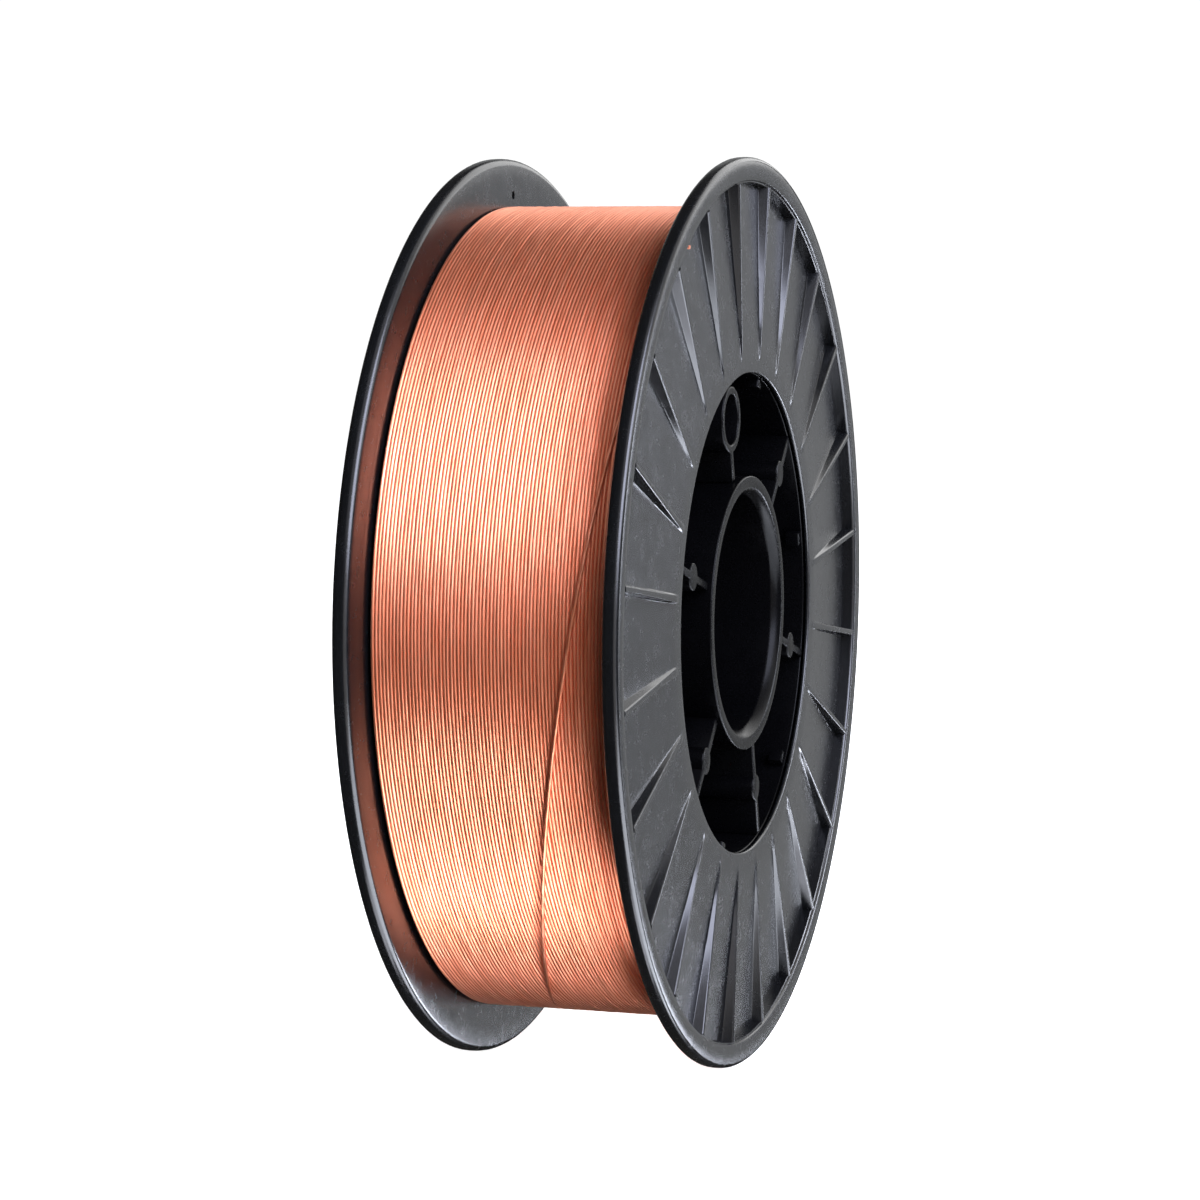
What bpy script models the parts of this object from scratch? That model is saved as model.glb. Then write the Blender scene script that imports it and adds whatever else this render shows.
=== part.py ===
"""A plastic basket-core spool wound full of copper-coated welding wire.

World frame: metres, origin at the centre of the spool, spool axis along Y, near flange facing -Y, +Z up.
The spool is two like mouldings pegged together on the plane Y = 0. Each moulding is modelled in the frame of
its own empty: local +Z runs outwards along the spool axis, and angles are measured from local +X to local +Y.
"""

import math

import bmesh
import bpy
from mathutils import Matrix

MM = 0.001

# Driving dimensions
FLANGE_RADIUS = 100 * MM
HALF_WIDTH = 30 * MM  # joint plane to the front of the rim
BORE_RADIUS = 26 * MM
BARREL_RADIUS = 55 * MM
PACK_RADIUS = 89.5 * MM
WIRE_RADIUS = 0.4 * MM
GAP = 0.3 * MM  # kept between pieces that touch
JOINT_GAP = 0.15 * MM  # each moulding's distance to the joint plane

# Flange
RIM_WIDTH = 5.5 * MM
RIM_INNER_FACE = 26.3 * MM
FACE_HEIGHT = 29.1 * MM  # the plain ring round the core opening
FACE_OUTER_RADIUS = 57.5 * MM
WEB_THICKNESS = 1.1 * MM
WEB_EDGE_HEIGHT = 27.1 * MM  # the web's outer surface where it meets the rim
RIM_FRONT_CORNER = 1.2 * MM
RIM_BACK_CORNER = 1.5 * MM
RIM_INNER_EDGE = 0.7 * MM
OPENING_LIP = 0.5 * MM
FACE_RIBS = 24
FACE_RIB_PHASE = math.radians(7.5)
FACE_RIB_START_RADIUS = 56 * MM
FACE_RIB_START_HEIGHT = 29.3 * MM
FACE_RIB_END_HEIGHT = 29.8 * MM
FACE_RIB_TOP_WIDTH = 1.4 * MM
FACE_RIB_ROOT_WIDTH = 2.2 * MM
FIXING_HOLE_ANGLES = (math.radians(120), math.radians(225))  # in the middle of a bay between face ribs
FIXING_HOLE_RADIUS = 0.95 * MM
FIXING_HOLE_PITCH_RADIUS = 92 * MM

# Core
BARREL_WALL = 2 * MM
HUB_MOUTH_RADIUS = 30.3 * MM
HUB_ROOT_RADIUS = 29.6 * MM
HUB_HEIGHT = 29 * MM
HUB_CHAMFER = 1.8 * MM
HUB_OUTER_EDGE = 0.3 * MM
CORE_RIBS = 6
CORE_RIB_PHASE = math.radians(45)
CORE_RIB_HEIGHT = 28 * MM
CORE_RIB_WIDTH = 1.8 * MM
BOSS_PITCH_RADIUS = 41.7 * MM
BOSS_RADIUS = 3 * MM
PEG_RADIUS = 1.6 * MM
PEG_HOLE_RADIUS = 1.9 * MM
PEG_LENGTH = 17 * MM
PEG_HOLE_DEPTH = 9.5 * MM
DRIVE_ANGLE = math.radians(105)
DRIVE_PITCH_RADIUS = 44.5 * MM
DRIVE_HOLE_RADIUS = 5.5 * MM
DRIVE_SLEEVE_RADIUS = 7.3 * MM
DRIVE_RIB_HEIGHT = 27.6 * MM
LUG_PHASE = math.radians(15)
LUG_DEPTH = 2 * MM
LUG_WIDTH = 3 * MM
LUG_LENGTH = 3.5 * MM
LUG_RECESS = 0.3 * MM

# The free end of the wire crosses the pack to the near flange and ends in a fixing hole
CROSSING_START = math.radians(328)
CROSSING_END = math.radians(138)
CROSSING_HALF_SPAN = 25 * MM
CROSSING_POINTS = 44
RUN_UP_POINTS = 6  # from the crossing to the hole, beside the flange
BEND_RADIUS = 2.4 * MM
BEND_POINTS = 5
WIRE_TIP_HEIGHT = 28.4 * MM

FLANGE_STEPS = 72
HUB_STEPS = 48
SMALL_STEPS = 20
MERGE = 0.01 * MM
OVERRUN = 1 * MM  # how far a cutter reaches past a face that it cuts through

BARREL_INNER_RADIUS = BARREL_RADIUS - BARREL_WALL
RIM_INNER_RADIUS = FLANGE_RADIUS - RIM_WIDTH


def remove_startup_objects():
    for obj in list(bpy.data.objects):
        bpy.data.objects.remove(obj, do_unlink=True)


def new_collection(name):
    collection = bpy.data.collections.new(name)
    bpy.context.scene.collection.children.link(collection)
    return collection


def new_material(name, colour, roughness, metallic):
    material = bpy.data.materials.new(name)
    material.use_nodes = True
    shader = material.node_tree.nodes["Principled BSDF"]
    shader.inputs["Base Color"].default_value = (*colour, 1)
    shader.inputs["Roughness"].default_value = roughness
    shader.inputs["Metallic"].default_value = metallic
    return material


def new_object(name, mesh, collection):
    obj = bpy.data.objects.new(name, mesh)
    collection.objects.link(obj)
    return obj


def object_from_bmesh(name, bm, collection):
    mesh = bpy.data.meshes.new(name)
    bm.to_mesh(mesh)
    bm.free()
    return new_object(name, mesh, collection)


def evaluated_mesh(obj):
    """The mesh that an object's modifiers make, with its round faces smooth."""
    graph = bpy.context.evaluated_depsgraph_get()
    mesh = bpy.data.meshes.new_from_object(obj.evaluated_get(graph))
    mesh.shade_smooth()
    mesh.set_sharp_from_angle(angle=math.radians(35))
    return mesh


def turned(name, profile, steps, collection):
    """A closed (radius, height) profile turned about Z. It runs down on its outer side."""
    bm = bmesh.new()
    points = [bm.verts.new((radius, 0, height)) for radius, height in profile]
    for start, end in zip(points, points[1:] + points[:1]):
        bm.edges.new((start, end))
    obj = object_from_bmesh(name, bm, collection)
    screw = obj.modifiers.new("Turn", "SCREW")
    screw.axis = "Z"
    screw.steps = steps
    screw.render_steps = steps
    screw.use_merge_vertices = True
    screw.merge_threshold = MERGE
    return obj


def wedge(bm, angle, inner, outer, root_width, top_width):
    """A radial rib at an angle. inner and outer are each (radius at root, radius at top, root, top)."""
    made = bmesh.ops.create_cube(bm, size=2)["verts"]
    turn = Matrix.Rotation(angle, 4, "Z")
    for vert in made:
        root_radius, top_radius, root, top = outer if vert.co.x > 0 else inner
        at_top = vert.co.z > 0
        width = top_width if at_top else root_width
        vert.co.x = top_radius if at_top else root_radius
        vert.co.y *= width / 2
        vert.co.z = top if at_top else root
        vert.co = turn @ vert.co


def cylinder(bm, radius, bottom, top, centre, steps):
    middle = Matrix.Translation((*centre, (bottom + top) / 2))
    bmesh.ops.create_cone(
        bm, cap_ends=True, segments=steps, radius1=radius, radius2=radius, depth=top - bottom, matrix=middle
    )


def boolean(obj, operation, other):
    other.hide_render = True
    other.display_type = "WIRE"
    modifier = obj.modifiers.new(operation.title(), "BOOLEAN")
    modifier.operation = operation
    modifier.solver = "EXACT"
    modifier.object = other


def arc(centre, radius, start, end, count):
    """Points along an arc, angles in degrees."""
    angles = [math.radians(start + (end - start) * i / (count - 1)) for i in range(count)]
    return [(centre[0] + radius * math.cos(a), centre[1] + radius * math.sin(a)) for a in angles]


def web_slope():
    return (FACE_HEIGHT - WEB_EDGE_HEIGHT) / (RIM_INNER_RADIUS - FACE_OUTER_RADIUS)


def web_inner_height(radius):
    """The height of the flange's wire-side face: a shallow cone that runs out into the back of the rim."""
    cone = FACE_HEIGHT - WEB_THICKNESS - web_slope() * max(radius - FACE_OUTER_RADIUS, 0)
    return max(cone, RIM_INNER_FACE)


def flange_mesh(helpers):
    """Rim, dished web, radial ribs and the small holes that hold the wire's end, in one moulding."""
    lip = OPENING_LIP
    edge = RIM_INNER_EDGE
    front = (FLANGE_RADIUS - RIM_FRONT_CORNER, HALF_WIDTH - RIM_FRONT_CORNER)
    back = (FLANGE_RADIUS - RIM_BACK_CORNER, RIM_INNER_FACE + RIM_BACK_CORNER)
    run_out = FACE_OUTER_RADIUS + (FACE_HEIGHT - WEB_THICKNESS - RIM_INNER_FACE) / web_slope()
    profile = [
        (BARREL_INNER_RADIUS, web_inner_height(0)),
        *arc((BARREL_INNER_RADIUS + lip, FACE_HEIGHT - lip), lip, 180, 90, 4),
        (FACE_OUTER_RADIUS, FACE_HEIGHT),
        (RIM_INNER_RADIUS, WEB_EDGE_HEIGHT),
        (RIM_INNER_RADIUS, HALF_WIDTH - edge),
        (RIM_INNER_RADIUS + edge, HALF_WIDTH),
        *arc(front, RIM_FRONT_CORNER, 90, 0, 5),
        *arc(back, RIM_BACK_CORNER, 0, -90, 3),
        (run_out, RIM_INNER_FACE),
        (FACE_OUTER_RADIUS, web_inner_height(FACE_OUTER_RADIUS)),
    ]
    disc = turned("flange_disc", profile, FLANGE_STEPS, helpers)
    disc.hide_render = True
    rib_start = FACE_RIB_START_RADIUS
    rib_end = RIM_INNER_RADIUS + edge
    bm = bmesh.new()
    for i in range(FACE_RIBS):
        wedge(
            bm,
            FACE_RIB_PHASE + i * math.tau / FACE_RIBS,
            (rib_start, rib_start, FACE_HEIGHT - WEB_THICKNESS / 2, FACE_RIB_START_HEIGHT),
            (rib_end, rib_end, WEB_EDGE_HEIGHT - WEB_THICKNESS / 2, FACE_RIB_END_HEIGHT),
            FACE_RIB_ROOT_WIDTH,
            FACE_RIB_TOP_WIDTH,
        )
    boolean(disc, "UNION", object_from_bmesh("face_ribs", bm, helpers))
    bm = bmesh.new()
    for angle in FIXING_HOLE_ANGLES:
        centre = (FIXING_HOLE_PITCH_RADIUS * math.cos(angle), FIXING_HOLE_PITCH_RADIUS * math.sin(angle))
        cylinder(bm, FIXING_HOLE_RADIUS, RIM_INNER_FACE - 2 * OVERRUN, HALF_WIDTH, centre, SMALL_STEPS)
    boolean(disc, "DIFFERENCE", object_from_bmesh("fixing_holes", bm, helpers))
    return evaluated_mesh(disc)


def barrel_mesh(helpers):
    """Half the winding barrel, with the small lugs inside its mouth."""
    top = web_inner_height(0) - GAP
    profile = [
        (BARREL_INNER_RADIUS, JOINT_GAP),
        (BARREL_INNER_RADIUS, top),
        (BARREL_RADIUS, top),
        (BARREL_RADIUS, JOINT_GAP),
    ]
    tube = turned("barrel_tube", profile, FLANGE_STEPS, helpers)
    tube.hide_render = True
    bite = BARREL_WALL / 2
    bm = bmesh.new()
    for i in range(CORE_RIBS):
        face = (BARREL_INNER_RADIUS - LUG_DEPTH, BARREL_INNER_RADIUS - LUG_DEPTH)
        back = (BARREL_INNER_RADIUS + bite, BARREL_INNER_RADIUS + bite)
        span = (top - LUG_LENGTH, top - LUG_RECESS)
        angle = LUG_PHASE + i * math.tau / CORE_RIBS
        wedge(bm, angle, (*face, *span), (*back, *span), LUG_WIDTH, LUG_WIDTH)
    lugs = object_from_bmesh("lugs", bm, helpers)
    boolean(tube, "UNION", lugs)
    return evaluated_mesh(tube)


def hub_mesh(helpers):
    """Half the hub tube that fits over a machine's spindle, with a lead-in at its mouth."""
    edge = HUB_OUTER_EDGE
    profile = [
        (BORE_RADIUS, JOINT_GAP),
        (BORE_RADIUS, HUB_HEIGHT - HUB_CHAMFER),
        (BORE_RADIUS + HUB_CHAMFER, HUB_HEIGHT),
        (HUB_MOUTH_RADIUS - edge, HUB_HEIGHT),
        (HUB_MOUTH_RADIUS, HUB_HEIGHT - edge),
        (HUB_ROOT_RADIUS, JOINT_GAP),
    ]
    tube = turned("hub_tube", profile, HUB_STEPS, helpers)
    tube.hide_render = True
    return evaluated_mesh(tube)


def core_rib_ends(outer_radius, height):
    inner = (HUB_ROOT_RADIUS + GAP, HUB_MOUTH_RADIUS + GAP, JOINT_GAP, height)
    outer = (outer_radius, outer_radius, JOINT_GAP, height)
    return inner, outer


def core_rib_mesh(helpers):
    """A rib along local +X with its round boss, and the blind hole that takes a joint peg."""
    bm = bmesh.new()
    inner, outer = core_rib_ends(BARREL_INNER_RADIUS - GAP, CORE_RIB_HEIGHT)
    wedge(bm, 0, inner, outer, CORE_RIB_WIDTH, CORE_RIB_WIDTH)
    rib = object_from_bmesh("core_rib_blade", bm, helpers)
    rib.hide_render = True
    centre = (BOSS_PITCH_RADIUS, 0)
    bm = bmesh.new()
    cylinder(bm, BOSS_RADIUS, JOINT_GAP, CORE_RIB_HEIGHT, centre, SMALL_STEPS)
    boolean(rib, "UNION", object_from_bmesh("core_rib_boss", bm, helpers))
    bm = bmesh.new()
    cylinder(bm, PEG_HOLE_RADIUS, -OVERRUN, PEG_HOLE_DEPTH, centre, SMALL_STEPS)
    boolean(rib, "DIFFERENCE", object_from_bmesh("peg_hole", bm, helpers))
    return evaluated_mesh(rib)


def drive_sleeve_mesh(helpers):
    """The sleeve for the machine's driving pin, and the rib that carries it, along local +X."""
    bm = bmesh.new()
    inner, outer = core_rib_ends(BARREL_INNER_RADIUS - GAP, DRIVE_RIB_HEIGHT)
    wedge(bm, 0, inner, outer, CORE_RIB_WIDTH, CORE_RIB_WIDTH)
    rib = object_from_bmesh("drive_rib_blade", bm, helpers)
    rib.hide_render = True
    centre = (DRIVE_PITCH_RADIUS, 0)
    bm = bmesh.new()
    cylinder(bm, DRIVE_SLEEVE_RADIUS, JOINT_GAP, CORE_RIB_HEIGHT, centre, 2 * SMALL_STEPS)
    boolean(rib, "UNION", object_from_bmesh("drive_sleeve_tube", bm, helpers))
    bm = bmesh.new()
    cylinder(bm, DRIVE_HOLE_RADIUS, -OVERRUN, HALF_WIDTH, centre, 2 * SMALL_STEPS)
    boolean(rib, "DIFFERENCE", object_from_bmesh("drive_hole", bm, helpers))
    return evaluated_mesh(rib)


def place(name, mesh, material, parent, angle, collection):
    """One sub-part under its moulding's empty, turned about the spool axis."""
    if not mesh.materials:
        mesh.materials.append(material)
    obj = new_object(name, mesh, collection)
    obj.parent = parent
    obj.rotation_euler = (0, 0, angle)
    return obj


def add_half(side, meshes, plastic, parent, collection):
    place(f"{side}_flange", meshes["flange"], plastic, parent, 0, collection)
    place(f"{side}_barrel_half", meshes["barrel"], plastic, parent, 0, collection)
    place(f"{side}_hub_half", meshes["hub"], plastic, parent, 0, collection)
    place(f"{side}_drive_sleeve", meshes["drive"], plastic, parent, DRIVE_ANGLE, collection)
    for number, angle in enumerate(boss_angles(), start=1):
        place(f"{side}_core_rib_{number}", meshes["rib"], plastic, parent, angle, collection)


def boss_angles():
    """The angles of the core ribs that carry a boss: all but the one with the drive hole."""
    angles = [CORE_RIB_PHASE + i * math.tau / CORE_RIBS for i in range(CORE_RIBS)]
    return [angle for angle in angles if abs(angle - DRIVE_ANGLE) > 0.01]


def add_pegs(plastic, spool, collection):
    bm = bmesh.new()
    cylinder(bm, PEG_RADIUS, -PEG_LENGTH / 2, PEG_LENGTH / 2, (BOSS_PITCH_RADIUS, 0), SMALL_STEPS)
    mesh = bpy.data.meshes.new("joint_peg")
    bm.to_mesh(mesh)
    bm.free()
    mesh.shade_smooth()
    mesh.set_sharp_from_angle(angle=math.radians(35))
    for number, angle in enumerate(boss_angles(), start=1):
        place(f"joint_peg_{number}", mesh, plastic, spool, angle, collection)


def add_wire_pack(copper, spool, collection, helpers):
    """The wound wire as one ring that fills the space between the flanges."""
    inner = BARREL_RADIUS + GAP
    low = web_inner_height(inner) - GAP
    bend = web_inner_height(FACE_OUTER_RADIUS) - GAP
    high = web_inner_height(PACK_RADIUS) - GAP
    profile = [
        (inner, -low),
        (inner, low),
        (FACE_OUTER_RADIUS, bend),
        (PACK_RADIUS, high),
        (PACK_RADIUS, -high),
        (FACE_OUTER_RADIUS, -bend),
    ]
    ring = turned("wire_ring", profile, FLANGE_STEPS, helpers)
    ring.hide_render = True
    place("wire_pack", evaluated_mesh(ring), copper, spool, 0, collection)


def polar(radius, angle, height):
    return (radius * math.cos(angle), radius * math.sin(angle), height)


def free_end_route():
    """The free end's centreline: across the pack, beside the near flange, then out through a fixing hole."""
    on_pack = PACK_RADIUS + GAP + WIRE_RADIUS
    route = []
    for i in range(CROSSING_POINTS):
        share = 1 - i / (CROSSING_POINTS - 1)
        eased = 0.5 * (1 - 2 * share) + 0.5 * math.cos(math.pi * share)
        angle = CROSSING_END + (CROSSING_START - CROSSING_END) * share
        route.append(polar(on_pack, angle, CROSSING_HALF_SPAN * eased))
    hole = FIXING_HOLE_ANGLES[0]
    bend = BEND_RADIUS / FIXING_HOLE_PITCH_RADIUS
    for i in range(1, RUN_UP_POINTS + 1):
        share = i / RUN_UP_POINTS
        angle = CROSSING_END + (hole + bend - CROSSING_END) * share
        lift = (FIXING_HOLE_PITCH_RADIUS - on_pack) * share * share * (3 - 2 * share)
        route.append(polar(on_pack + lift, angle, CROSSING_HALF_SPAN))
    for i in range(1, BEND_POINTS + 1):
        turn = math.pi / 2 * i / BEND_POINTS
        angle = hole + bend * (1 - math.sin(turn))
        height = CROSSING_HALF_SPAN + BEND_RADIUS * (1 - math.cos(turn))
        route.append(polar(FIXING_HOLE_PITCH_RADIUS, angle, height))
    route.append(polar(FIXING_HOLE_PITCH_RADIUS, hole, WIRE_TIP_HEIGHT))
    return route


def add_wire_end(copper, spool, collection):
    """The free end of the wire, lying on the pack."""
    curve = bpy.data.curves.new("wire_free_end", "CURVE")
    curve.dimensions = "3D"
    curve.bevel_depth = WIRE_RADIUS
    curve.bevel_resolution = 2
    curve.use_fill_caps = True
    spline = curve.splines.new("POLY")
    route = free_end_route()
    spline.points.add(len(route) - 1)
    for point, place_on_route in zip(spline.points, route):
        point.co = (*place_on_route, 1)
    curve.materials.append(copper)
    obj = new_object("wire_free_end", curve, collection)
    obj.parent = spool


def add_empty(name, rotation, parent, collection):
    empty = new_object(name, None, collection)
    empty.empty_display_size = 20 * MM
    empty.rotation_euler = rotation
    empty.parent = parent
    return empty


def main():
    remove_startup_objects()
    parts = new_collection("wire_spool")
    helpers = new_collection("cutters_and_guides")
    plastic = new_material("black_plastic", (0.035, 0.038, 0.042), 0.38, 0.0)
    copper = new_material("copper_coated_wire", (0.82, 0.40, 0.26), 0.28, 1.0)

    # A quarter turn about X takes local +Z to world -Y and local +Y to world +Z.
    spool = add_empty("spool_axis", (math.radians(90), 0, 0), None, parts)
    near_half = add_empty("near_moulding", (0, 0, 0), spool, parts)
    # Half a turn about the radius through the drive hole, so that the two drive sleeves line up.
    far_half = add_empty("far_moulding", (math.pi, 0, 2 * DRIVE_ANGLE), spool, parts)

    meshes = {
        "flange": flange_mesh(helpers),
        "barrel": barrel_mesh(helpers),
        "hub": hub_mesh(helpers),
        "rib": core_rib_mesh(helpers),
        "drive": drive_sleeve_mesh(helpers),
    }
    add_half("near", meshes, plastic, near_half, parts)
    add_half("far", meshes, plastic, far_half, parts)
    add_pegs(plastic, spool, parts)
    add_wire_pack(copper, spool, parts, helpers)
    add_wire_end(copper, spool, parts)


main()
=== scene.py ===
"""A plastic basket-core spool full of copper-coated welding wire, dressed for a studio picture.

Row frame: metres, origin at the centre of the spool, spool axis along Y, near flange facing -Y, +Z up.
The two mouldings are alike. Each is made in a local frame whose +Z runs outwards along the spool axis, then
turned into its place. The wire is wound as a real helix.
"""

import math
import random

import bmesh
import bpy
from mathutils import Matrix, Vector


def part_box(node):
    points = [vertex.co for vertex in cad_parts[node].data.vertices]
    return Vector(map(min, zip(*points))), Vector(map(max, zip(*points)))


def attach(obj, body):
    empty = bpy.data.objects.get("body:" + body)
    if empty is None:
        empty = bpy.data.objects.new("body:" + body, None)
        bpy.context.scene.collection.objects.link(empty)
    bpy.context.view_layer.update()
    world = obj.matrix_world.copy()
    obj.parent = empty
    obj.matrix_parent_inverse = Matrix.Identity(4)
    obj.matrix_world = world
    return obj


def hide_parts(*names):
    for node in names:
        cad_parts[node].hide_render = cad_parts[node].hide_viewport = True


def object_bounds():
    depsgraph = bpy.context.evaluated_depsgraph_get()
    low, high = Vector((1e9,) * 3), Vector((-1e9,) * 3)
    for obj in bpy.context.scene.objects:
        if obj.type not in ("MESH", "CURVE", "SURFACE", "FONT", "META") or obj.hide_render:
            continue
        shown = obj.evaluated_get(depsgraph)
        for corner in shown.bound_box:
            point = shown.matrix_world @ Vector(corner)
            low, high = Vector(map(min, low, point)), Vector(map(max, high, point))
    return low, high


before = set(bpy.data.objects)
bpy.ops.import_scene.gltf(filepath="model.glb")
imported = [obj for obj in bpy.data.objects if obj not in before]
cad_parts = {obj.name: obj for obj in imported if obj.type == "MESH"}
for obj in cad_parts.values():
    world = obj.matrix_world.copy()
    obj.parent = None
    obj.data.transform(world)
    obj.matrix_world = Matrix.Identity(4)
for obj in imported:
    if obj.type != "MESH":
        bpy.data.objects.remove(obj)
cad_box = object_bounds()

MM = 0.001

# Sizes read from the frame
FLANGE_RADIUS = cad_box[1].z
HALF_WIDTH = cad_box[1].y
BARREL_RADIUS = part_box("near_barrel_half")[1].z
PACK_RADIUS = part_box("wire_pack")[1].z

# Flange
RIM_WIDTH = 5.5 * MM
RIM_INNER_FACE = 26.3 * MM
FACE_HEIGHT = 29.1 * MM
FACE_OUTER_RADIUS = 57.5 * MM
WEB_THICKNESS = 1.1 * MM
WEB_EDGE_HEIGHT = 27.1 * MM
RIM_FRONT_CORNER = 1.2 * MM
RIM_CROWN_RADIUS = 11 * MM  # the rim's front is very slightly rounded
RIM_BACK_CORNER = 1.5 * MM
RIM_INNER_EDGE = 0.7 * MM
OPENING_LIP = 0.5 * MM
FACE_RIBS = 24
FACE_RIB_PHASE = math.radians(7.5)
RIB_START_RADIUS = 56 * MM
RIB_START_HEIGHT = 29.3 * MM
RIB_END_HEIGHT = 29.8 * MM
FIXING_HOLE_ANGLES = (math.radians(120), math.radians(225))
FIXING_HOLE_RADIUS = 0.95 * MM
FIXING_HOLE_PITCH_RADIUS = 92 * MM

# Core
BARREL_WALL = 2 * MM
BORE_RADIUS = 26 * MM
HUB_MOUTH_RADIUS = 30.3 * MM
HUB_ROOT_RADIUS = 29.6 * MM
HUB_HEIGHT = 29 * MM
HUB_CHAMFER = 1.8 * MM
CORE_RIBS = 6
CORE_RIB_PHASE = math.radians(45)
CORE_RIB_HEIGHT = 28 * MM
CORE_RIB_WIDTH = 1.8 * MM
BOSS_PITCH_RADIUS = 41.7 * MM
BOSS_RADIUS = 3 * MM
DRIVE_ANGLE = math.radians(105)
DRIVE_PITCH_RADIUS = 44.5 * MM
DRIVE_HOLE_RADIUS = 5.5 * MM
DRIVE_SLEEVE_RADIUS = 7.3 * MM
LUG_PHASE = math.radians(15)
LUG_DEPTH = 2 * MM
LUG_WIDTH = 3 * MM
LUG_LENGTH = 3.5 * MM
GAP = 0.3 * MM
JOINT_GAP = 0.15 * MM

# Wire
WIRE_RADIUS = 0.4 * MM
PACK_TURNS = 67
TURN_STEPS = 180
CROSSING_START = math.radians(328)
CROSSING_END = math.radians(138)
CROSSING_HALF_SPAN = 25 * MM
SINK_START = math.radians(215)  # the free end comes out from under the last layer
SINK_END = math.radians(262)
BEND_RADIUS = 2.4 * MM
WIRE_TIP_HEIGHT = 28.4 * MM

# Camera
CAMERA_DISTANCE = 798.8 * MM
CAMERA_TURN = math.radians(17.38)  # from -X towards -Y
CAMERA_RISE = math.radians(4.86)
CAMERA_ROLL = math.radians(0.27)
CAMERA_LENS = 107.28
CAMERA_SENSOR = 36  # mm
CAMERA_SHIFT = (-0.0198, 0.0076)

BARREL_INNER_RADIUS = BARREL_RADIUS - BARREL_WALL
RIM_INNER_RADIUS = FLANGE_RADIUS - RIM_WIDTH

# Grid steps
WEB_RINGS = 30
BACK_RINGS = 12
CARD_STEPS = 24
HOLE_CUTTER_DEPTH = 10 * MM

# Unevenness of the winding
TURN_SINK = 0.07  # mm
TURN_SHIFT = 0.05  # mm
TURN_WAVE = 0.03 * MM
TURN_WAVES = 11  # in one turn

# Studio, metres
FLOOR_SIZE = 8
FLOOR_GLOW = 0.97

# Plastics: dark colour, light colour, roughness, specular level
FACE_PLASTIC = ((0.0018, 0.002, 0.0023), (0.003, 0.0033, 0.0038), 0.25, 0.35)
# The core's copy is darker and nearly without gloss: painted shade for the deep core interior, not a
# different plastic.
CORE_PLASTIC_PAINTED_SHADE = ((0.0006, 0.0006, 0.0008), (0.001, 0.001, 0.0012), 0.28, 0.05)


# ---------------------------------------------------------------- mesh helpers


def object_from(name, verts, faces):
    mesh = bpy.data.meshes.new(name)
    mesh.from_pydata(verts, [], faces)
    mesh.validate()
    return link(name, mesh)


def object_from_bmesh(name, bm):
    bmesh.ops.recalc_face_normals(bm, faces=bm.faces)
    mesh = bpy.data.meshes.new(name)
    bm.to_mesh(mesh)
    bm.free()
    return link(name, mesh)


def link(name, mesh):
    obj = bpy.data.objects.new(name, mesh)
    bpy.context.scene.collection.objects.link(obj)
    return obj


def smooth(mesh, angle=40):
    mesh.shade_smooth()
    mesh.set_sharp_from_angle(angle=math.radians(angle))


def apply_modifiers(obj):
    graph = bpy.context.evaluated_depsgraph_get()
    mesh = bpy.data.meshes.new_from_object(obj.evaluated_get(graph))
    obj.modifiers.clear()
    obj.data = mesh
    return obj


def combine(obj, operation, *others):
    """Unites obj with, or cuts it by, the other objects, which are used up."""
    for other in others:
        modifier = obj.modifiers.new(operation.title(), "BOOLEAN")
        modifier.operation = operation
        modifier.solver = "EXACT"
        modifier.object = other
        apply_modifiers(obj)
        bpy.data.objects.remove(other)
    return obj


def arc(centre, radius, start, end, count):
    """Points along an arc, angles in degrees."""
    angles = [math.radians(start + (end - start) * i / (count - 1)) for i in range(count)]
    return [(centre[0] + radius * math.cos(a), centre[1] + radius * math.sin(a)) for a in angles]


def turned(name, profile, steps):
    """A closed (radius, height) profile turned about Z."""
    count = len(profile)
    verts = []
    for step in range(steps):
        angle = math.tau * step / steps
        verts += [(r * math.cos(angle), r * math.sin(angle), h) for r, h in profile]
    faces = []
    for step in range(steps):
        here = step * count
        there = (step + 1) % steps * count
        for i in range(count):
            j = (i + 1) % count
            faces.append((here + i, there + i, there + j, here + j))
    obj = object_from(name, verts, faces)
    outward(obj.data)
    return obj


def outward(mesh):
    bm = bmesh.new()
    bm.from_mesh(mesh)
    bmesh.ops.recalc_face_normals(bm, faces=bm.faces)
    bm.to_mesh(mesh)
    bm.free()


def extruded(name, outline, bottom, top, bevel):
    """A closed outline of (x, y) points raised from bottom to top, with its upper edge rounded."""
    bm = bmesh.new()
    face = bm.faces.new([bm.verts.new((x, y, bottom)) for x, y in outline])
    raised = bmesh.ops.extrude_face_region(bm, geom=[face])["geom"]
    upper = [v for v in raised if isinstance(v, bmesh.types.BMVert)]
    for vert in upper:
        vert.co.z = top
    rim = [e for e in bm.edges if all(abs(v.co.z - top) < 1e-7 for v in e.verts)]
    bmesh.ops.bevel(bm, geom=rim, offset=bevel, segments=3, affect="EDGES", profile=0.5)
    return object_from_bmesh(name, bm)


def ring_profile(inner, outer, bottom, top, edge):
    """A tube wall's section with its upper edges rounded."""
    return [
        (inner, bottom),
        *arc((inner + edge, top - edge), edge, 180, 90, 4),
        *arc((outer - edge, top - edge), edge, 90, 0, 4),
        (outer, bottom),
    ]


# ---------------------------------------------------------------- flange


def web_height(radius):
    """The web's outer surface: a flat ring round the opening, then a shallow cone out to the rim."""
    fall = (FACE_HEIGHT - WEB_EDGE_HEIGHT) / (RIM_INNER_RADIUS - FACE_OUTER_RADIUS)
    return FACE_HEIGHT - fall * max(radius - FACE_OUTER_RADIUS, 0)


def web_inner_height(radius):
    """The web's wire-side surface, which runs out into the back of the rim."""
    return max(web_height(radius) - WEB_THICKNESS, RIM_INNER_FACE)


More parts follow.
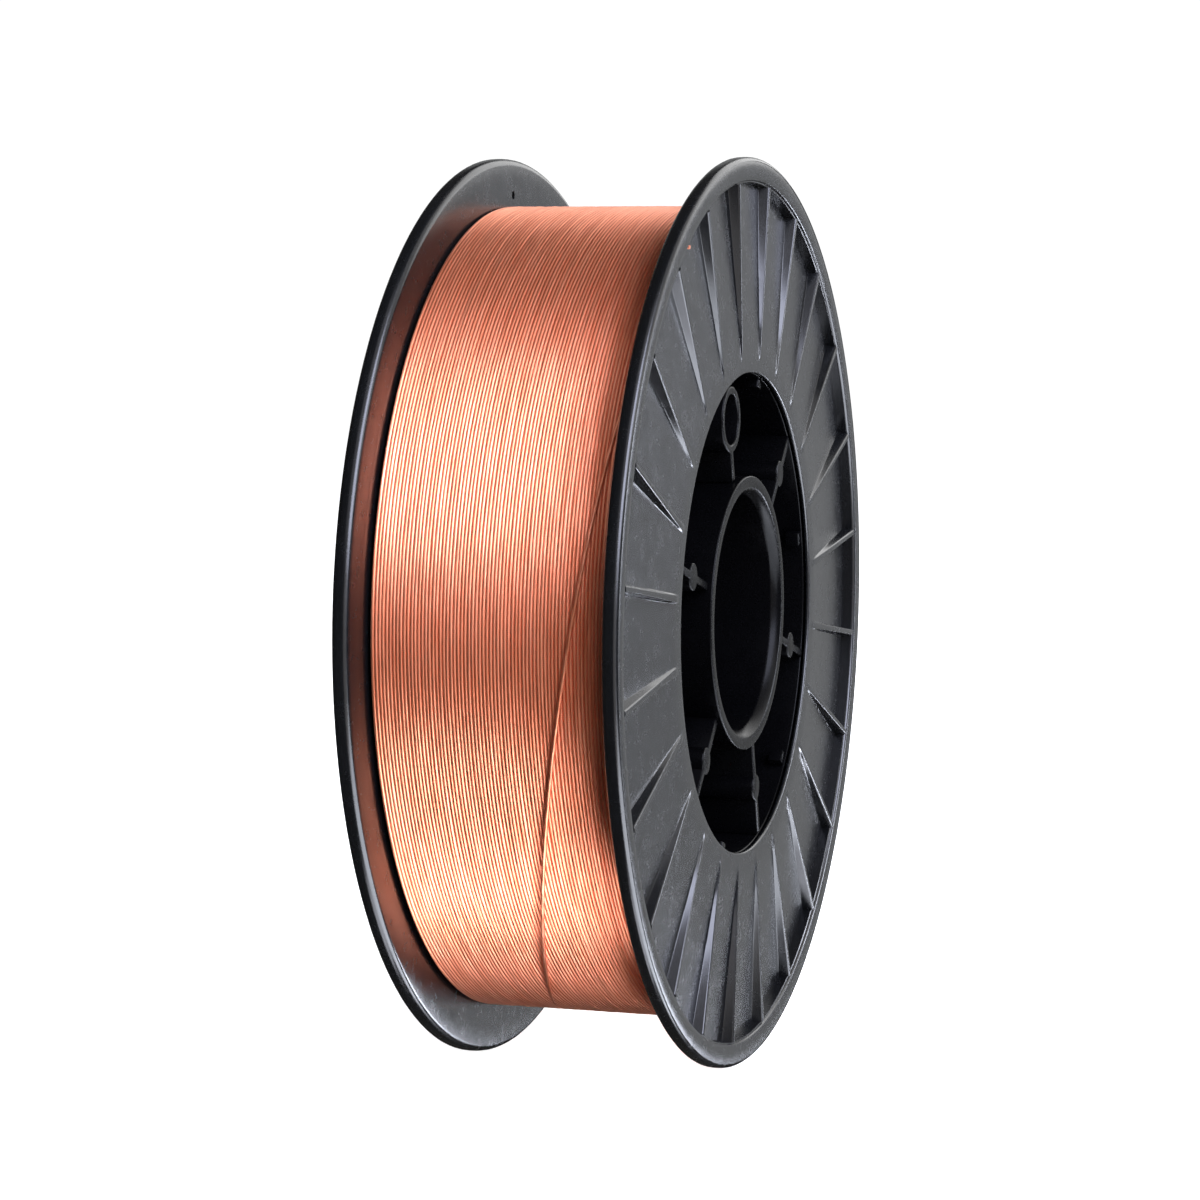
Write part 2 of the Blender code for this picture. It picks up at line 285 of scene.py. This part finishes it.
def rib_rise(radius):
    """How far a face rib stands above the web."""
    share = (radius - RIB_START_RADIUS) / (RIM_INNER_RADIUS - RIB_START_RADIUS)
    if not 0 <= share <= 1.001:
        return 0.0
    top = RIB_START_HEIGHT + (RIB_END_HEIGHT - RIB_START_HEIGHT) * share
    return max(top - web_height(radius), 0)


def rib_columns():
    """(distance from the rib's middle, share of its height) across one face rib, with its rounded edges."""
    half = [(0.3, 1.0), (0.5, 0.98), (0.64, 0.92), (0.72, 0.84), (0.98, 0.12), (1.08, 0.03), (1.3, 0.0)]
    half = [(x * MM, share) for x, share in half]
    return [(-x, share) for x, share in reversed(half)] + [(0.0, 1.0)] + half


def flange_columns(radius):
    """(angle, share of rib height) of every grid column at a radius."""
    columns = []
    bay_steps = 6
    rib = rib_columns()
    edge = rib[-1][0]
    for i in range(FACE_RIBS):
        middle = FACE_RIB_PHASE + i * math.tau / FACE_RIBS
        columns += [(middle + math.asin(x / radius), share) for x, share in rib]
        start = middle + math.asin(edge / radius)
        end = middle + math.tau / FACE_RIBS - math.asin(edge / radius)
        for step in range(1, bay_steps):
            columns.append((start + (end - start) * step / bay_steps, 0.0))
    return columns


def flange_rows():
    """(radius, height) of each ring of the section, front then back.

    The height is None where the web and the ribs give it.
    """
    lip = OPENING_LIP
    edge = RIM_INNER_EDGE
    front = (FLANGE_RADIUS - RIM_FRONT_CORNER, HALF_WIDTH - RIM_FRONT_CORNER)
    back = (FLANGE_RADIUS - RIM_BACK_CORNER, RIM_INNER_FACE + RIM_BACK_CORNER)
    inner_height = web_inner_height(0)
    rows = list(arc((BARREL_INNER_RADIUS + lip, FACE_HEIGHT - lip), lip, 180, 90, 6))
    web_start = BARREL_INNER_RADIUS + lip + 1 * MM
    web_end = RIM_INNER_RADIUS - 0.6 * MM
    rows += [
        (web_start + (web_end - web_start) * i / WEB_RINGS, None)
        for i in range(WEB_RINGS + 1)
    ]
    rows += [(RIM_INNER_RADIUS - 0.2 * MM, None), (RIM_INNER_RADIUS, None)]
    rows += [(RIM_INNER_RADIUS + 0.05 * MM, HALF_WIDTH - edge - 0.15 * MM)]
    crown_middle = RIM_INNER_RADIUS + RIM_WIDTH / 2
    crown = arc((crown_middle, HALF_WIDTH - RIM_CROWN_RADIUS), RIM_CROWN_RADIUS, 99, 80, 9)
    rows += arc((crown[0][0], crown[0][1] - edge), edge, 170, 99, 5)[:-1]
    rows += crown
    rows += arc(front, RIM_FRONT_CORNER, 72, 0, 10)
    rows += arc(back, RIM_BACK_CORNER, 0, -90, 6)
    for i in range(BACK_RINGS + 1):
        radius = RIM_INNER_RADIUS + (FACE_OUTER_RADIUS - RIM_INNER_RADIUS) * i / BACK_RINGS
        rows.append((radius, web_inner_height(radius)))
    rows += [(BARREL_INNER_RADIUS + 0.5 * MM, inner_height), (BARREL_INNER_RADIUS, inner_height + 0.3 * MM)]
    return rows


def make_flange(name):
    """Rim, dished web and face ribs on one grid of rings and columns, then the fixing holes."""
    verts = []
    rows = flange_rows()
    for radius, height in rows:
        for angle, share in flange_columns(radius):
            rise = rib_rise(radius) * share
            level = web_height(radius) + rise if height is None else height
            verts.append((radius * math.cos(angle), radius * math.sin(angle), level))
    count = len(verts) // len(rows)
    faces = []
    for row in range(len(rows)):
        here = row * count
        there = (row + 1) % len(rows) * count
        for i in range(count):
            j = (i + 1) % count
            faces.append((here + i, there + i, there + j, here + j))
    flange = object_from(name, verts, faces)
    outward(flange.data)
    cutters = []
    for angle in FIXING_HOLE_ANGLES:
        bm = bmesh.new()
        centre = polar(FIXING_HOLE_PITCH_RADIUS, angle, HALF_WIDTH - 2 * MM)
        bmesh.ops.create_cone(
            bm, cap_ends=True, segments=32, radius1=FIXING_HOLE_RADIUS, radius2=FIXING_HOLE_RADIUS,
            depth=HOLE_CUTTER_DEPTH, matrix=Matrix.Translation(centre),
        )
        cutters.append(object_from_bmesh("fixing_hole", bm))
    combine(flange, "DIFFERENCE", *cutters)
    smooth(flange.data)
    return flange


# ---------------------------------------------------------------- core


def make_barrel(name):
    """Half the winding barrel with its small lugs."""
    top = FACE_HEIGHT - WEB_THICKNESS - GAP
    tube = turned(name, ring_profile(BARREL_INNER_RADIUS, BARREL_RADIUS, JOINT_GAP, top, 0.3 * MM), 144)
    lugs = []
    for i in range(CORE_RIBS):
        half = LUG_WIDTH / 2
        inner = BARREL_INNER_RADIUS - LUG_DEPTH
        outer = BARREL_INNER_RADIUS + BARREL_WALL / 2
        outline = [(inner, -half), (outer, -half), (outer, half), (inner, half)]
        lug = extruded("lug", outline, top - LUG_LENGTH, top - 0.3 * MM, 0.35 * MM)
        lug.data.transform(Matrix.Rotation(LUG_PHASE + i * math.tau / CORE_RIBS, 4, "Z"))
        lugs.append(lug)
    combine(tube, "UNION", *lugs)
    smooth(tube.data)
    return tube


def make_hub(name):
    """Half the hub tube, with the lead-in at its mouth and rounded edges."""
    edge = 0.35 * MM
    mouth = HUB_HEIGHT - HUB_CHAMFER
    profile = [
        (BORE_RADIUS, JOINT_GAP),
        (BORE_RADIUS, mouth - 0.5 * MM),
        (BORE_RADIUS + 0.12 * MM, mouth),
        (BORE_RADIUS + HUB_CHAMFER - 0.25 * MM, HUB_HEIGHT - 0.15 * MM),
        (BORE_RADIUS + HUB_CHAMFER + 0.15 * MM, HUB_HEIGHT),
        *arc((HUB_MOUTH_RADIUS - edge, HUB_HEIGHT - edge), edge, 90, 0, 5),
        (HUB_ROOT_RADIUS, JOINT_GAP),
    ]
    tube = turned(name, profile, 128)
    smooth(tube.data, 50)
    return tube


def blade_outline(inner, outer, half):
    return [(inner, -half), (outer, -half), (outer, half), (inner, half)]


def make_core_rib(name):
    """A core rib along local +X with its round boss."""
    half = CORE_RIB_WIDTH / 2
    centre = (BOSS_PITCH_RADIUS, 0)
    spread = math.degrees(math.asin(half / BOSS_RADIUS))
    outline = [(HUB_MOUTH_RADIUS + GAP, -half)]
    outline += arc(centre, BOSS_RADIUS, 180 + spread, 360 - spread, 14)
    outline += [(BARREL_INNER_RADIUS - GAP, -half), (BARREL_INNER_RADIUS - GAP, half)]
    outline += arc(centre, BOSS_RADIUS, spread, 180 - spread, 14)
    outline += [(HUB_MOUTH_RADIUS + GAP, half)]
    rib = extruded(name, outline, JOINT_GAP, CORE_RIB_HEIGHT, 0.3 * MM)
    smooth(rib.data)
    return rib


def make_drive_sleeve(name):
    """The sleeve for the driving pin, with the rib that carries it on both sides."""
    top = CORE_RIB_HEIGHT
    wall = ring_profile(DRIVE_HOLE_RADIUS, DRIVE_SLEEVE_RADIUS, JOINT_GAP, top, 0.4 * MM)
    sleeve = turned(name, wall, 64)
    sleeve.data.transform(Matrix.Translation((DRIVE_PITCH_RADIUS, 0, 0)))
    half = CORE_RIB_WIDTH / 2
    bite = 0.6 * MM
    hub_side = (HUB_MOUTH_RADIUS + GAP, DRIVE_PITCH_RADIUS - DRIVE_SLEEVE_RADIUS + bite)
    barrel_side = (DRIVE_PITCH_RADIUS + DRIVE_SLEEVE_RADIUS - bite, BARREL_INNER_RADIUS - GAP)
    blades = [
        extruded("blade", blade_outline(*ends, half), JOINT_GAP, top - 0.4 * MM, 0.3 * MM)
        for ends in (hub_side, barrel_side)
    ]
    combine(sleeve, "UNION", *blades)
    smooth(sleeve.data)
    return sleeve


# ---------------------------------------------------------------- wire


def wire_section():
    """Angles across the wire, outward at 0, closer together on the side that shows."""
    return [math.radians(a) for a in (-150, -100, -72, -48, -24, 0, 24, 48, 72, 100, 150)]


def make_outer_turns(name):
    """The last layer of wire as one long helix, with the small unevenness of real winding."""
    rng = random.Random(11)
    section = wire_section()
    edge_height = web_inner_height(PACK_RADIUS) - GAP - WIRE_RADIUS
    pitch = 2 * edge_height / PACK_TURNS
    lifts = [rng.uniform(-TURN_SINK, 0.0) * MM for _ in range(PACK_TURNS + 2)]
    shifts = [rng.uniform(-TURN_SHIFT, TURN_SHIFT) * MM for _ in range(PACK_TURNS + 2)]
    phases = [rng.uniform(0, math.tau) for _ in range(PACK_TURNS + 2)]
    centre_radius = PACK_RADIUS - WIRE_RADIUS
    verts = []
    total = PACK_TURNS * TURN_STEPS
    for step in range(total + 1):
        turn, part = divmod(step, TURN_STEPS)
        share = part / TURN_STEPS
        angle = math.tau * share
        blend = share * share * (3 - 2 * share)
        lift = lifts[turn] * (1 - blend) + lifts[turn + 1] * blend
        shift = shifts[turn] * (1 - blend) + shifts[turn + 1] * blend
        phase = phases[turn] * (1 - blend) + phases[turn + 1] * blend
        wave = TURN_WAVE * math.sin(TURN_WAVES * angle + phase) - TURN_WAVE
        radius = centre_radius + lift + wave
        height = -edge_height + pitch * (step / TURN_STEPS) + shift
        for a in section:
            r = radius + WIRE_RADIUS * math.cos(a)
            z = height + WIRE_RADIUS * math.sin(a)
            verts.append((r * math.cos(angle), r * math.sin(angle), z))
    count = len(section)
    faces = []
    for step in range(total):
        here = step * count
        there = here + count
        for i in range(count):
            j = (i + 1) % count
            faces.append((here + i, there + i, there + j, here + j))
    faces.append(tuple(range(count)))
    faces.append(tuple(range(total * count, (total + 1) * count))[::-1])
    obj = object_from(name, verts, faces)
    outward(obj.data)
    add_wire_uv(obj.data, count, total)
    obj.data.shade_smooth()
    return obj


def add_wire_uv(mesh, count, total):
    """U is the distance round the turn and V the place across the pack, both in metres."""
    layer = mesh.uv_layers.new(name="winding")
    step_length = math.tau * PACK_RADIUS / TURN_STEPS
    for polygon in mesh.polygons:
        steps = [mesh.loops[i].vertex_index // count for i in polygon.loop_indices]
        first = min(steps)
        for i, step in zip(polygon.loop_indices, steps):
            place = first % TURN_STEPS + (step - first)
            across = mesh.vertices[mesh.loops[i].vertex_index].co.z
            layer.data[i].uv = (place * step_length, across)


def make_under_layers(name):
    """The layers below the last one, whose wires show in the grooves."""
    inner = BARREL_RADIUS + GAP
    low = web_inner_height(inner) - GAP
    bend = web_inner_height(FACE_OUTER_RADIUS) - GAP
    top = PACK_RADIUS - WIRE_RADIUS * (1 + math.sqrt(3)) + WIRE_RADIUS
    high = web_inner_height(top) - GAP
    profile = [(inner, -low), (inner, low), (FACE_OUTER_RADIUS, bend)]
    pitch = 2 * high / PACK_TURNS
    for i in range(PACK_TURNS):
        middle = high - pitch * (i + 0.5)
        for a in (-75, -25, 25, 75):
            turn = math.radians(a)
            radius = top - WIRE_RADIUS + WIRE_RADIUS * math.cos(turn)
            profile.append((radius, middle - WIRE_RADIUS * math.sin(turn)))
    profile.append((FACE_OUTER_RADIUS, -bend))
    ring = turned(name, profile, 120)
    smooth(ring.data, 60)
    return ring


def polar(radius, angle, height):
    return Vector((radius * math.cos(angle), radius * math.sin(angle), height))


def free_end_route():
    """The free end's centreline in the local frame: over the pack, then out through a fixing hole."""
    on_pack = PACK_RADIUS + 0.2 * MM + WIRE_RADIUS
    points = 90
    route = []
    for i in range(points):
        share = 1 - i / (points - 1)
        eased = 0.5 * (1 - 2 * share) + 0.5 * math.cos(math.pi * share)
        angle = CROSSING_END + (CROSSING_START - CROSSING_END) * share
        buried = min(max((angle - SINK_START) / (SINK_END - SINK_START), 0), 1)
        depth = 3.2 * WIRE_RADIUS * buried * buried * (3 - 2 * buried)
        route.append(polar(on_pack - depth, angle, CROSSING_HALF_SPAN * eased))
    hole = FIXING_HOLE_ANGLES[0]
    bend = BEND_RADIUS / FIXING_HOLE_PITCH_RADIUS
    run_up = 10
    for i in range(1, run_up + 1):
        share = i / run_up
        angle = CROSSING_END + (hole + bend - CROSSING_END) * share
        lift = (FIXING_HOLE_PITCH_RADIUS - on_pack) * share * share * (3 - 2 * share)
        route.append(polar(on_pack + lift, angle, CROSSING_HALF_SPAN))
    turns = 8
    for i in range(1, turns + 1):
        turn = math.pi / 2 * i / turns
        angle = hole + bend * (1 - math.sin(turn))
        height = CROSSING_HALF_SPAN + BEND_RADIUS * (1 - math.cos(turn))
        route.append(polar(FIXING_HOLE_PITCH_RADIUS, angle, height))
    route.append(polar(FIXING_HOLE_PITCH_RADIUS, hole, WIRE_TIP_HEIGHT))
    return route


def make_free_end(name):
    """The free end of the wire as a smooth tube with a cut tip."""
    route = free_end_route()
    sides = 14
    verts = []
    previous = None
    for i, point in enumerate(route):
        ahead = route[min(i + 1, len(route) - 1)]
        behind = route[max(i - 1, 0)]
        along = (ahead - behind).normalized()
        outwards = Vector((point.x, point.y, 0)).normalized() if previous is None else previous
        outwards = (outwards - along * outwards.dot(along)).normalized()
        previous = outwards
        side = along.cross(outwards)
        for k in range(sides):
            a = math.tau * k / sides
            verts.append(point + WIRE_RADIUS * (math.cos(a) * outwards + math.sin(a) * side))
    faces = []
    for i in range(len(route) - 1):
        for k in range(sides):
            j = (k + 1) % sides
            faces.append((i * sides + k, i * sides + j, (i + 1) * sides + j, (i + 1) * sides + k))
    faces.append(tuple(range(sides))[::-1])
    faces.append(tuple(range((len(route) - 1) * sides, len(route) * sides)))
    obj = object_from(name, verts, faces)
    outward(obj.data)
    layer = obj.data.uv_layers.new(name="winding")
    for polygon in obj.data.polygons:
        for i in polygon.loop_indices:
            index = obj.data.loops[i].vertex_index
            layer.data[i].uv = (index // sides * 3 * MM, obj.data.vertices[index].co.z)
    smooth(obj.data, 60)
    return obj


# ---------------------------------------------------------------- materials


def add_node(tree, kind, **inputs):
    node = tree.nodes.new(kind)
    for name, value in inputs.items():
        node.inputs[name.replace("_", " ")].default_value = value
    return node


def noise(tree, vector, scale, detail=2.0, roughness=0.5):
    node = add_node(tree, "ShaderNodeTexNoise", Scale=scale, Detail=detail, Roughness=roughness)
    tree.links.new(vector, node.inputs["Vector"])
    return node.outputs["Fac"]


def remap(tree, value, low, high, to_low, to_high):
    node = tree.nodes.new("ShaderNodeMapRange")
    tree.links.new(value, node.inputs["Value"])
    for name, number in zip(("From Min", "From Max", "To Min", "To Max"), (low, high, to_low, to_high)):
        node.inputs[name].default_value = number
    return node.outputs["Result"]


def mix_colour(tree, factor, first, second):
    node = tree.nodes.new("ShaderNodeMix")
    node.data_type = "RGBA"
    tree.links.new(factor, node.inputs[0])
    for socket, colour in ((node.inputs[6], first), (node.inputs[7], second)):
        if isinstance(colour, tuple):
            socket.default_value = (*colour, 1)
        else:
            tree.links.new(colour, socket)
    return node.outputs[2]


def bump(tree, height, strength, distance, normal=None):
    node = add_node(tree, "ShaderNodeBump", Strength=strength, Distance=distance)
    tree.links.new(height, node.inputs["Height"])
    if normal is not None:
        tree.links.new(normal, node.inputs["Normal"])
    return node.outputs["Normal"]


def new_material(name):
    material = bpy.data.materials.new(name)
    material.use_nodes = True
    tree = material.node_tree
    return material, tree, tree.nodes["Principled BSDF"]


def plastic_material(name, dark, light, rough, gloss):
    """Black moulded plastic: a fine grain, faint flow marks, paler specks and scuffs of varying roughness."""
    material, tree, shader = new_material(name)
    place = tree.nodes.new("ShaderNodeTexCoord").outputs["Object"]
    cloud = noise(tree, place, 45.0, 3.0)
    speckle = noise(tree, place, 1400.0, 2.0, 0.6)
    scuff = noise(tree, place, 260.0, 6.0, 0.75)
    grain = noise(tree, place, 2200.0, 2.0, 0.55)
    shade = mix_colour(tree, remap(tree, cloud, 0.3, 0.7, 0.0, 1.0), dark, light)
    shade = mix_colour(tree, remap(tree, speckle, 0.62, 0.8, 0.0, 0.4), shade, tuple(1.6 * c for c in light))
    tree.links.new(shade, shader.inputs["Base Color"])
    worn = remap(tree, scuff, 0.35, 0.75, rough - 0.04, rough + 0.06)
    tree.links.new(worn, shader.inputs["Roughness"])
    relief = bump(tree, grain, 0.012, 0.03 * MM)
    relief = bump(tree, cloud, 0.05, 0.4 * MM, relief)
    tree.links.new(relief, shader.inputs["Normal"])
    shader.inputs["IOR"].default_value = 1.55
    shader.inputs["Specular IOR Level"].default_value = gloss
    return material


def copper_material(name):
    """Copper-coated wire: drawn lines along it, slight unevenness and changes of tone from turn to turn."""
    material, tree, shader = new_material(name)
    place = tree.nodes.new("ShaderNodeUVMap")
    place.uv_map = "winding"
    along = tree.nodes.new("ShaderNodeMapping")
    along.inputs["Scale"].default_value = (1, 14, 1)
    tree.links.new(place.outputs["UV"], along.inputs["Vector"])
    drawn = tree.nodes.new("ShaderNodeMapping")
    drawn.inputs["Scale"].default_value = (1, 60, 1)
    tree.links.new(place.outputs["UV"], drawn.inputs["Vector"])
    tone = noise(tree, along.outputs["Vector"], 55.0, 3.0, 0.6)
    wave = noise(tree, along.outputs["Vector"], 90.0, 1.0)
    lines = noise(tree, drawn.outputs["Vector"], 300.0, 3.0, 0.6)
    bright = (0.94, 0.37, 0.22)
    deep = (0.84, 0.27, 0.14)
    colour = mix_colour(tree, remap(tree, tone, 0.3, 0.7, 0.0, 1.0), bright, deep)
    tree.links.new(colour, shader.inputs["Base Color"])
    shader.inputs["Metallic"].default_value = 1.0
    shader.inputs["Anisotropic"].default_value = 0.75
    shader.inputs["Anisotropic Rotation"].default_value = 0.25
    direction = tree.nodes.new("ShaderNodeTangent")
    direction.direction_type = "UV_MAP"
    direction.uv_map = "winding"
    tree.links.new(direction.outputs["Tangent"], shader.inputs["Tangent"])
    tree.links.new(remap(tree, lines, 0.3, 0.7, 0.4, 0.5), shader.inputs["Roughness"])
    relief = bump(tree, wave, 0.35, 0.6 * MM)
    relief = bump(tree, lines, 0.15, 0.05 * MM, relief)
    tree.links.new(relief, shader.inputs["Normal"])
    return material


def glow_material(name, colour, strength):
    material = bpy.data.materials.new(name)
    material.use_nodes = True
    tree = material.node_tree
    tree.nodes.clear()
    emission = add_node(tree, "ShaderNodeEmission", Color=(*colour, 1), Strength=strength)
    output = tree.nodes.new("ShaderNodeOutputMaterial")
    tree.links.new(emission.outputs["Emission"], output.inputs["Surface"])
    return material


# ---------------------------------------------------------------- putting it together


def near_place():
    """Local +Z to -Y and local +Y to +Z."""
    return Matrix.Rotation(math.radians(90), 4, "X")


def far_place():
    """The near moulding turned half round the radius through the drive hole."""
    return near_place() @ Matrix.Rotation(2 * DRIVE_ANGLE, 4, "Z") @ Matrix.Rotation(math.pi, 4, "X")


def finish_piece(obj, matrix, material, slot, *nodes):
    obj.data.transform(matrix)
    obj.data.materials.clear()
    obj.data.materials.append(material)
    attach(obj, "root")
    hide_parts(*nodes)
    return obj


def boss_angles():
    angles = [CORE_RIB_PHASE + i * math.tau / CORE_RIBS for i in range(CORE_RIBS)]
    return [angle for angle in angles if abs(angle - DRIVE_ANGLE) > 0.01]


def dress_moulding(side, place, face_plastic, core_plastic_painted_shade):
    slot = "black_plastic"
    finish_piece(make_flange(f"{side}_flange_disc"), place, face_plastic, slot, f"{side}_flange")
    # Barrel, hub, sleeve and core ribs take the darkened core plastic: painted shade for the recess.
    finish_piece(make_barrel(f"{side}_barrel_tube"), place, core_plastic_painted_shade, slot, f"{side}_barrel_half")
    finish_piece(make_hub(f"{side}_hub_tube"), place, core_plastic_painted_shade, slot, f"{side}_hub_half")
    turn = Matrix.Rotation(DRIVE_ANGLE, 4, "Z")
    sleeve = make_drive_sleeve(f"{side}_drive_tube")
    finish_piece(sleeve, place @ turn, core_plastic_painted_shade, slot, f"{side}_drive_sleeve")
    for number, angle in enumerate(boss_angles(), start=1):
        turn = Matrix.Rotation(angle, 4, "Z")
        rib = make_core_rib(f"{side}_core_blade_{number}")
        finish_piece(rib, place @ turn, core_plastic_painted_shade, slot, f"{side}_core_rib_{number}")


def dress_pegs(plastic):
    for name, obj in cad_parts.items():
        if name.startswith("joint_peg"):
            obj.data.materials.clear()
            obj.data.materials.append(plastic)


def dress_wire(copper):
    slot = "copper_coated_wire"
    place = near_place()
    finish_piece(make_outer_turns("wire_outer_turns"), place, copper, slot, "wire_pack")
    finish_piece(make_under_layers("wire_under_layers"), place, copper, slot, "wire_pack")
    finish_piece(make_free_end("wire_end_strand"), place, copper, slot, "wire_free_end")


# ---------------------------------------------------------------- studio


def arc_card(name, start, end, radius, low, high, colour, strength):
    """A glowing sheet bent round the Y axis, unseen by the camera.

    Angles go from the -X horizon (0) up over the top to +X (180).
    """
    verts = []
    for i in range(CARD_STEPS + 1):
        angle = math.radians(start + (end - start) * i / CARD_STEPS)
        for y in (low, high):
            verts.append((-radius * math.cos(angle), y, radius * math.sin(angle)))
    faces = [(2 * i, 2 * i + 2, 2 * i + 3, 2 * i + 1) for i in range(CARD_STEPS)]
    card = object_from(name, verts, faces)
    card.data.materials.append(glow_material(name, colour, strength))
    card.visible_camera = False
    card.visible_shadow = False
    return card


def flat_card(name, centre, width, height, colour, strength):
    """A glowing rectangle that faces the spool, unseen by the camera."""
    away = Vector(centre).normalized()
    across = Vector((0, 0, 1)).cross(away).normalized() * width / 2
    rise = away.cross(across).normalized() * height / 2
    middle = Vector(centre)
    corners = [middle - across - rise, middle + across - rise, middle + across + rise, middle - across + rise]
    card = object_from(name, corners, [(0, 1, 2, 3)])
    card.data.materials.append(glow_material(name, colour, strength))
    card.visible_camera = False
    card.visible_shadow = False
    return card


def add_studio():
    arc_card("key_softbox", 19, 82, 1.5, -3.8, -0.85, (0.95, 1.0, 1.25), 13.5)
    arc_card("key_wing", 19, 82, 1.5, -0.85, 0.15, (1.0, 1.0, 1.1), 1.2)
    arc_card("under_bounce", -39, -129, 1.5, -3.8, -0.7, (0.97, 1.02, 1.14), 11.0)
    arc_card("under_wing", -64, -92, 1.5, -0.7, 0.12, (0.97, 1.0, 1.12), 7.0)
    arc_card("side_fill", -39, 19, 1.5, -3.6, -0.5, (1.0, 0.96, 0.95), 1.35)
    arc_card("top_fill", 82, 136, 1.5, -3.6, -0.5, (1.0, 0.98, 0.97), 1.1)
    arc_card("top_edge_light", 136, 170, 1.5, -3.0, 0.0, (1.0, 1.0, 1.0), 2.6)
    flat_card("upper_strip", (1.52, -1.28, 0.2), 0.5, 0.6, (0.95, 1.0, 1.15), 16.0)
    flat_card("lower_strip", (1.6, -1.06, -0.62), 0.5, 0.55, (0.95, 1.0, 1.15), 24.0)
    arc_card("white_sweep", 151, 200, 1.6, -2.5, 2.5, (0.97, 0.99, 1.0), 0.45)
    flat_card("front_panel", (0.0, -2.4, 1.35), 1.3, 1.2, (0.97, 0.98, 1.0), 4.0)
    half = FLOOR_SIZE / 2
    corners = [(-half, -half, 0), (half, -half, 0), (half, half, 0), (-half, half, 0)]
    floor = object_from("floor", corners, [(0, 1, 2, 3)])
    floor.location.z = cad_box[0].z
    material, tree, shader = new_material("pale_floor")
    shader.inputs["Base Color"].default_value = (0.8, 0.8, 0.8, 1)
    shader.inputs["Roughness"].default_value = 0.8
    shader.inputs["Emission Color"].default_value = (1, 1, 1, 1)
    shader.inputs["Emission Strength"].default_value = FLOOR_GLOW
    floor.data.materials.append(material)
    floor.visible_glossy = False


def add_world():
    """White to the camera, a dim room to everything else."""
    world = bpy.data.worlds.new("studio")
    bpy.context.scene.world = world
    world.use_nodes = True
    tree = world.node_tree
    tree.nodes.clear()
    room = add_node(tree, "ShaderNodeBackground", Color=(1.0, 0.95, 0.9, 1), Strength=0.05)
    white = add_node(tree, "ShaderNodeBackground", Color=(1, 1, 1, 1), Strength=1.05)
    path = tree.nodes.new("ShaderNodeLightPath")
    mix = tree.nodes.new("ShaderNodeMixShader")
    output = tree.nodes.new("ShaderNodeOutputWorld")
    tree.links.new(path.outputs["Is Camera Ray"], mix.inputs["Fac"])
    tree.links.new(room.outputs["Background"], mix.inputs[1])
    tree.links.new(white.outputs["Background"], mix.inputs[2])
    tree.links.new(mix.outputs["Shader"], output.inputs["Surface"])


def add_camera():
    back = Vector((
        -math.cos(CAMERA_TURN) * math.cos(CAMERA_RISE),
        -math.sin(CAMERA_TURN) * math.cos(CAMERA_RISE),
        math.sin(CAMERA_RISE),
    ))
    level = Vector((math.sin(CAMERA_TURN), -math.cos(CAMERA_TURN), 0))
    upright = back.cross(level)
    right = level * math.cos(CAMERA_ROLL) + upright * math.sin(CAMERA_ROLL)
    up = back.cross(right)
    data = bpy.data.cameras.new("camera")
    data.lens = CAMERA_LENS
    data.sensor_width = CAMERA_SENSOR
    data.shift_x, data.shift_y = CAMERA_SHIFT
    camera = bpy.data.objects.new("camera", data)
    facing = Matrix((right, up, back)).transposed().to_4x4()
    camera.matrix_world = Matrix.Translation(back * CAMERA_DISTANCE) @ facing
    bpy.context.scene.collection.objects.link(camera)
    bpy.context.scene.camera = camera


def main():
    # A real moulding is one plastic. Here the core has its own, darker and almost without gloss: painted
    # shade that keeps the deep core interior black.
    face_plastic = plastic_material("black_plastic_face", *FACE_PLASTIC)
    core_plastic_painted_shade = plastic_material("black_plastic_core_painted_shade", *CORE_PLASTIC_PAINTED_SHADE)
    copper = copper_material("copper_coated_wire")
    dress_moulding("near", near_place(), face_plastic, core_plastic_painted_shade)
    dress_moulding("far", far_place(), face_plastic, core_plastic_painted_shade)
    dress_pegs(core_plastic_painted_shade)
    dress_wire(copper)
    add_studio()
    add_world()
    add_camera()
    bpy.context.scene.view_settings.view_transform = "Standard"


main()
